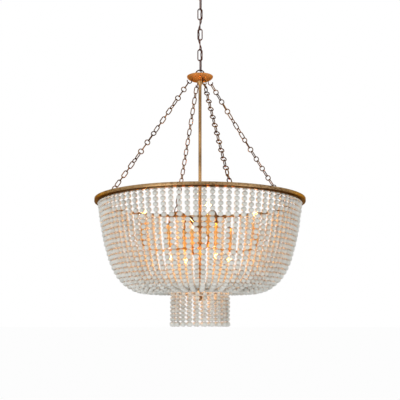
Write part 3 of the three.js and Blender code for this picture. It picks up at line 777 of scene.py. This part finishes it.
def makeLights():
    neck = (bulbPart["base"] / bulbPart["radius"], 0)
    base = -sleevePart["holder"] + fits["gap"]
    glass = bulbCurve([neck, *bulbPart["shares"]], 4)
    bulb = turned([(0, base), (bulbPart["base"], base), *glass], bulbPart["around"])
    filament = turned(bulbCurve(bulbPart["filament"], 3), bulbPart["filamentAround"])
    for kind, light in lights.items():
        up = light["up"]
        cluster = bmesh.new()
        cupFace = -light["drop"] - fits["gap"] * up
        foot = cupFace - up * armPart["cupHeight"] / 2
        start = (stem["radius"] + armPart["collar"]) / 2
        reach = light["reach"]
        points = [(start + (reach - start) * out, 0, foot - up * light["height"] * height)
                  for out, height in light["shares"]]
        put(cluster, armCollar(points[0][2]), lampPlace)
        arm = wire(smoothPath(points, armPart["perSpan"]), armPart["radius"], sides=armPart["sides"])
        cup = armCup(cupFace, up)
        sleeve = candleSleeve(light["length"])
        for index, azimuth in enumerate(evenly(armPart["count"], light["azimuth"])):
            turn = lampPlace @ turnedTo(azimuth)
            put(cluster, arm, turn)
            put(cluster, cup, turn @ Matrix.Translation((reach, 0, 0)))
            stand = turn @ Matrix.Translation((reach, 0, -light["drop"]))
            if up < 0:
                stand = stand @ Matrix.Rotation(pi, 4, "X")
            number = index + 1
            pieceOf(sleeve, f"{kind}_candle_{number}", "candle", "lamp", [f"{kind}_sleeve_{number}"], stand)
            stand = stand @ Matrix.Translation((0, 0, light["length"]))
            body = f"{kind}_bulb_{number}_body"
            shell = pieceOf(bulb, f"{kind}_flame_{number}", "bulb", body, [f"{kind}_bulb_{number}"], stand)
            glower = pieceOf(filament, f"{kind}_filament_{number}", "filament", body, (), stand)
            shell.visible_shadow = False
            glower.visible_shadow = False
            heart = Vector((0, 0, bulbPart["length"] * bulbPart["glowHeight"]))
            addGlow(f"{kind}_glow_{number}", body, stand @ heart)
        piece(cluster, f"{kind}_arm_cluster", light["finish"], "lamp", [f"{kind}_arms"])


makeLights()
print("lights made")

# Bead drape

# Low in the bowl, from one radius to another, the beads are spaced more, and their tones darken and vary more
# as painted shade on the bowl's underside.
bead = {"width": 0.0198, "pitch": 0.0184, "around": 10, "along": 6, "wobble": 0.0006, "seed": 7,
        "holeFrom": 0.84, "fill": 0.965, "lowFill": 0.92, "mottle": 0.27, "lowMottleAndShade": 0.62,
        "lowFrom": 0.33, "lowTo": 0.2, "narrowest": 0.975, "crowding": 0.94}
drape = {
    "strands": 84, "panels": 6, "circle": 0.378, "depth": 0.3379, "end": 0.112, "start": 0.0152,
    "stripWidth": 0.012, "stripThickness": 0.0015, "thread": 0.0009, "threadSides": 6, "cap": 0.0072,
    # Shares of the strand circle and of the depth, from the hoop down and in.
    "shares": [(1, 0.022), (0.966, 0.298), (0.913, 0.559), (0.829, 0.799), (0.709, 0.944), (0.587, 1)],
}
randomBeads = random.Random(bead["seed"])


def addBead(bm, tone, hole, spot, along, width, height, shade):
    lean = along.to_track_quat("Z", "Y").to_matrix().to_4x4()
    spin = Matrix.Rotation(randomBeads.uniform(0, tau), 4, "Z")
    place = Matrix.Translation(spot) @ lean @ spin @ Matrix.Diagonal((width, width, height, 1))
    verts = bmesh.ops.create_uvsphere(bm, u_segments=bead["around"], v_segments=bead["along"], radius=0.5,
                                      matrix=place)["verts"]
    for vert in verts:
        vert[tone] = shade
        # Towards its holes a bead takes the hole tone: bare wood, and painted shade where the beads meet.
        share = abs((vert.co - spot).dot(along)) / height * 2
        vert[hole] = max(0, share - bead["holeFrom"]) / (1 - bead["holeFrom"])


def addStrand(beads, thread, path, turn, pitch, count, cap):
    bm = bmesh.new()
    tone = bm.verts.layers.float.new("tone")
    hole = bm.verts.layers.float.new("hole")
    row = [turn @ point for point in path]
    shadeOfStrand = randomBeads.uniform(-0.12, 0.12)
    if cap:
        down = (row[1] - row[0]).normalized()
        addBead(bm, tone, hole, row[0] - down * cap / 2, down, bead["width"], cap,
                randomBeads.uniform(0, bead["mottle"]))
    for index in range(count):
        spot, along = walk(row, (index + 0.5) * pitch)
        radius = sqrt(spot.x ** 2 + spot.y ** 2)
        width = widthAt(radius) * randomBeads.uniform(bead["narrowest"], 1.0)
        nudge = Vector([randomBeads.uniform(-1, 1) * bead["wobble"] for _ in range(3)])
        # Painted shade: low in the bowl the bead tones darken and vary more, on top of their random tone.
        low = min(1, max(0, (bead["lowFrom"] - radius) / (bead["lowFrom"] - bead["lowTo"])))
        mottle = bead["mottle"] + (bead["lowMottleAndShade"] - bead["mottle"]) * low
        fill = bead["fill"] + (bead["lowFill"] - bead["fill"]) * low
        shade = min(1, max(0, (randomBeads.uniform(0, 1) ** (1 + low) + shadeOfStrand) * mottle))
        addBead(bm, tone, hole, spot + nudge, along, width, pitch * fill, shade)
    put(beads, asMesh(bm))
    put(thread, wire(row, drape["thread"], sides=drape["threadSides"]))


def drapePath(inner):
    points = [(drape["circle"] * out, 0, -drape["depth"] * down) for out, down in drape["shares"]]
    points[0] = (drape["circle"], 0, -drape["start"])
    points.append((drape["end"], 0, -drape["depth"]))
    path = smoothPath(points, 10)
    if inner:
        path = [point + Vector((0, 0, liftAt(point.x))) for point in path]
    return path


# Where a ring of beads no longer has room, every second strand rides above its neighbours.
def liftAt(radius):
    halfPitch = radius * tau / drape["strands"]
    width = widthAt(radius)
    return sqrt(max(0, width ** 2 - halfPitch ** 2))


def widthAt(radius):
    room = 2 * radius * tau / drape["strands"]
    return min(bead["width"], room * bead["crowding"])


def makeDrape():
    perPanel = drape["strands"] // drape["panels"]
    pitchAngle = 360 / drape["strands"]
    paths = {inner: drapePath(inner) for inner in (False, True)}
    for panel, azimuth in enumerate(evenly(drape["panels"], 180 / drape["panels"])):
        beads = bmesh.new()
        threads = bmesh.new()
        for index in range(perPanel):
            path = paths[index % 2 == 1]
            count = round((lengthOf(path)) / bead["pitch"])
            pitch = lengthOf(path) / count
            turn = lampPlace @ turnedTo(azimuth + (index - (perPanel - 1) / 2) * pitchAngle)
            addStrand(beads, threads, path, turn, pitch, count, drape["cap"])
        piece(beads, f"drape_beads_{panel + 1}", "bead", "lamp", [f"drape_panel_{panel + 1}"], 180)
        piece(threads, f"drape_threads_{panel + 1}", "thread", "lamp")
    top = -hoop["height"] / 2 - fits["gap"]
    low = top - drape["stripThickness"]
    near = drape["circle"] - drape["stripWidth"] / 2
    far = drape["circle"] + drape["stripWidth"] / 2
    profile = [(near, low), (far, low), (far, top), (near, top)]
    strip = turned(profile, hoop["steps"], True, fits["broadEdge"])
    pieceOf(strip, "drape_strip", "brass", "lamp", (), lampPlace)


makeDrape()
print("drape made")

# Bottom collar and finial

collar = {"circle": 0.104, "wire": 0.005, "steps": 96, "sides": 12, "depth": 0.3499,
          "bossRadius": 0.012, "bossHeight": 0.012, "bossAround": 40, "bossEdge": 0.0008,
          "spokes": 3, "spokeWire": 0.005, "azimuth": 32.5, "bead": 0.0164}
finial = {"radius": 0.009, "socket": 0.0063, "around": 32}
tail = {"groups": 6, "perGroup": 4, "azimuth": 2.5, "circle": 0.104, "bead": 0.0182, "lastBead": 0.0200,
        "beads": 7, "mottle": 1.4, "eyeletWire": 0.002, "eyeletSlack": 0.0012, "eyeletRise": 0.0006,
        "eyeletSteps": 20, "eyeletSides": 8, "stripWidth": 0.006, "stripThickness": 0.003, "stripSteps": 12}


def tailAzimuths():
    count = tail["groups"] * tail["perGroup"]
    return evenly(count, tail["azimuth"] + 180 / count)


def makeCollar():
    bm = bmesh.new()
    circle = collar["circle"]
    height = -collar["depth"]
    steps = collar["steps"]
    ring = [(circle * cos(tau * step / steps), circle * sin(tau * step / steps), height)
            for step in range(steps)]
    put(bm, wire(ring, collar["wire"] / 2, closed=True, sides=collar["sides"]))
    half = collar["bossHeight"] / 2
    bore = stem["radius"] + fits["gap"]
    radius = collar["bossRadius"]
    boss = [(bore, height - half), (radius, height - half), (radius, height + half), (bore, height + half)]
    put(bm, turned(boss, collar["bossAround"], True, collar["bossEdge"]))
    start = (stem["radius"] + radius) / 2
    spoke = wire([(start, 0, height), (circle, 0, height)], collar["spokeWire"] / 2, sides=collar["sides"])
    for azimuth in evenly(collar["spokes"], collar["azimuth"]):
        put(bm, spoke, turnedTo(azimuth))
    bmesh.ops.transform(bm, matrix=lampPlace, verts=bm.verts)
    piece(bm, "collar_wires", "rod", "lamp", ["bottom_collar"])
    beads = bmesh.new()
    tone = beads.verts.layers.float.new("tone")
    hole = beads.verts.layers.float.new("hole")
    for azimuth in tailAzimuths():
        spot = turnedTo(azimuth) @ Vector((circle, 0, lampHeight + height))
        addBead(beads, tone, hole, spot, Vector((0, 0, -1)), collar["bead"], collar["bead"],
                randomBeads.uniform(0, bead["mottle"]))
    piece(beads, "collar_beads", "bead", "lamp", (), 180)
    low, high = boxOf("finial")
    shares = [(0, 0), (0.35, 0.02), (0.5, 0.12), (0.42, 0.22), (0.75, 0.32), (1, 0.52), (0.97, 0.72),
              (0.7, 0.82), (0.95, 0.88), (0.95, 1)]
    outline = [(finial["radius"] * out, low.z + (high.z - low.z) * up) for out, up in shares]
    seat = high.z - finial["socket"]
    outline += [(bore, high.z), (bore, seat), (0, seat)]
    nut = turned(outline, finial["around"], False, fits["fineEdge"])
    pieceOf(nut, "finial_nut", "brass", "lamp", ["finial"])


makeCollar()
print("collar made")

# Tail

# One eyelet's ring, standing upright across the collar's wire.
def tailEyelet(radius):
    steps = tail["eyeletSteps"]
    path = [(radius * cos(tau * step / steps), 0, radius * sin(tau * step / steps)) for step in range(steps)]
    return wire(path, tail["eyeletWire"] / 2, closed=True, sides=tail["eyeletSides"])


# The curved bar that holds a group's four strands.
def tailStrip(turn, halfAngle, foot, top):
    near = tail["circle"] - tail["stripWidth"] / 2
    far = tail["circle"] + tail["stripWidth"] / 2
    first = turn @ Matrix.Rotation(-halfAngle, 4, "Z")
    strip = bmesh.new()
    corners = [strip.verts.new(first @ Vector((out, 0, height)))
               for out, height in ((near, foot), (far, foot), (far, top), (near, top))]
    face = strip.faces.new(corners)
    bmesh.ops.spin(strip, geom=[face], cent=(0, 0, 0), axis=(0, 0, 1), angle=2 * halfAngle,
                   steps=tail["stripSteps"], use_merge=False)
    bmesh.ops.recalc_face_normals(strip, faces=strip.faces)
    softenEdges(strip, fits["broadEdge"])
    return asMesh(strip)


def makeTail():
    circle = tail["circle"]
    step = 360 / (tail["groups"] * tail["perGroup"])
    spreadAngles = [(index - (tail["perGroup"] - 1) / 2) * step for index in range(tail["perGroup"])]
    eyeletAngle = acos(sum(cos(radians(angle)) for angle in spreadAngles) / len(spreadAngles))
    foot = boxOf("tail_group_1")[0].z
    rod = lampHeight - collar["depth"]
    bore = collar["wire"] / 2 + tail["eyeletSlack"]
    eyeletMiddle = rod - tail["eyeletSlack"] + tail["eyeletRise"]
    eyeletRadius = bore / cos(pi / 8) + tail["eyeletWire"] / 2
    stripTop = eyeletMiddle - eyeletRadius
    stripFoot = stripTop - tail["stripThickness"]
    eyelet = tailEyelet(eyeletRadius)
    halfAngle = radians(spreadAngles[-1] + step / 4)
    beadsDepth = stripFoot - foot - tail["lastBead"]
    pitch = beadsDepth / (tail["beads"] - 1)
    down = Vector((0, 0, -1))
    for group, azimuth in enumerate(evenly(tail["groups"], tail["azimuth"])):
        beads = bmesh.new()
        tone = beads.verts.layers.float.new("tone")
        hole = beads.verts.layers.float.new("hole")
        metal = bmesh.new()
        threads = bmesh.new()
        turn = turnedTo(azimuth)
        for angle in spreadAngles:
            spoke = turn @ Matrix.Rotation(radians(angle), 4, "Z")
            for index in range(tail["beads"]):
                last = index == tail["beads"] - 1
                height, width = (tail["lastBead"],) * 2 if last else (pitch, tail["bead"])
                middle = stripFoot - index * pitch - height / 2
                width *= randomBeads.uniform(bead["narrowest"], 1.0)
                nudge = Vector([randomBeads.uniform(-1, 1) * bead["wobble"] for _ in range(2)] + [0])
                spot = spoke @ Vector((circle, 0, middle)) + nudge
                shade = 0 if last else randomBeads.uniform(0, bead["mottle"] * tail["mottle"])
                addBead(beads, tone, hole, spot, down, width, height * bead["fill"], shade)
            ends = [spoke @ Vector((circle, 0, end)) for end in (stripFoot, foot + tail["lastBead"] / 2)]
            put(threads, wire(ends, drape["thread"], sides=drape["threadSides"]))
        put(metal, tailStrip(turn, halfAngle, stripFoot, stripTop))
        for angle in (-eyeletAngle, eyeletAngle):
            spoke = turn @ Matrix.Rotation(angle, 4, "Z")
            put(metal, eyelet, spoke @ Matrix.Translation((circle, 0, eyeletMiddle)))
        body = f"tail_group_{group + 1}_body"
        piece(beads, f"tail_beads_{group + 1}", "bead", body, [f"tail_group_{group + 1}"], 180)
        piece(threads, f"tail_threads_{group + 1}", "thread", body)
        piece(metal, f"tail_hanger_{group + 1}", "bead", body)


makeTail()
print("tail made")

# Floor, background and lamps

studio = {"floorHeight": -3.6, "floorSize": 400, "floorTone": 0.95, "floorGlow": 0.97, "floorRoughness": 0.9,
          "ambient": 0.345, "white": 1.0,
          "lamps": [("key", (-2.2, -2.8, -1.5), 2.0, 44), ("fill", (2.6, -2.4, -1.7), 2.4, 33),
                    ("back", (0.6, 2.8, 0.4), 2.4, 6), ("left edge", (-3.1, 2.0, -0.7), 1.5, 11),
                    ("right edge", (3.1, 2.0, -0.7), 1.5, 13)]}


def seenDirectly(tree):
    path = tree.nodes.new("ShaderNodeLightPath")
    seen = path.outputs["Is Camera Ray"]
    for name in ("Is Glossy Ray", "Is Transmission Ray"):
        both = tree.nodes.new("ShaderNodeMath")
        both.operation = "MAXIMUM"
        tree.links.new(seen, both.inputs[0])
        tree.links.new(path.outputs[name], both.inputs[1])
        seen = both.outputs["Value"]
    return seen


def makeStudio():
    world = bpy.data.worlds.new("studio")
    scene.world = world
    world.use_nodes = True
    tree = world.node_tree
    tree.nodes.clear()
    mix = tree.nodes.new("ShaderNodeMixShader")
    out = tree.nodes.new("ShaderNodeOutputWorld")
    tree.links.new(seenDirectly(tree), mix.inputs[0])
    for index, strength in enumerate((studio["ambient"], studio["white"])):
        background = tree.nodes.new("ShaderNodeBackground")
        background.inputs["Color"].default_value = (1, 1, 1, 1)
        background.inputs["Strength"].default_value = strength
        tree.links.new(background.outputs[0], mix.inputs[index + 1])
    tree.links.new(mix.outputs[0], out.inputs["Surface"])

    bm = bmesh.new()
    bmesh.ops.create_grid(bm, x_segments=2, y_segments=2, size=studio["floorSize"],
                          matrix=Matrix.Translation((0, 0, studio["floorHeight"])))
    mesh = bpy.data.meshes.new("floor")
    bm.to_mesh(mesh)
    bm.free()
    floor = bpy.data.objects.new("floor", mesh)
    scene.collection.objects.link(floor)
    material = bpy.data.materials.new("floor")
    material.use_nodes = True
    tree = material.node_tree
    shader = tree.nodes["Principled BSDF"]
    shader.inputs["Base Color"].default_value = (*[studio["floorTone"]] * 3, 1)
    shader.inputs["Roughness"].default_value = studio["floorRoughness"]
    glow = tree.nodes.new("ShaderNodeEmission")
    glow.inputs["Strength"].default_value = studio["white"]
    mix = tree.nodes.new("ShaderNodeMixShader")
    tree.links.new(product(tree, seenDirectly(tree), studio["floorGlow"]), mix.inputs[0])
    tree.links.new(shader.outputs[0], mix.inputs[1])
    tree.links.new(glow.outputs[0], mix.inputs[2])
    tree.links.new(mix.outputs[0], tree.nodes["Material Output"].inputs["Surface"])
    mesh.materials.append(material)

    target = Vector((0, 0, lampHeight))
    for name, place, size, power in studio["lamps"]:
        data = bpy.data.lights.new(name, "AREA")
        data.shape = "DISK"
        data.size = size
        data.energy = power
        lamp = bpy.data.objects.new(name, data)
        lamp.location = place
        lamp.rotation_euler = (target - Vector(place)).to_track_quat("-Z", "Y").to_euler()
        lamp.visible_camera = False
        scene.collection.objects.link(lamp)


makeStudio()
scene.view_settings.view_transform = "Standard"
print("studio made")
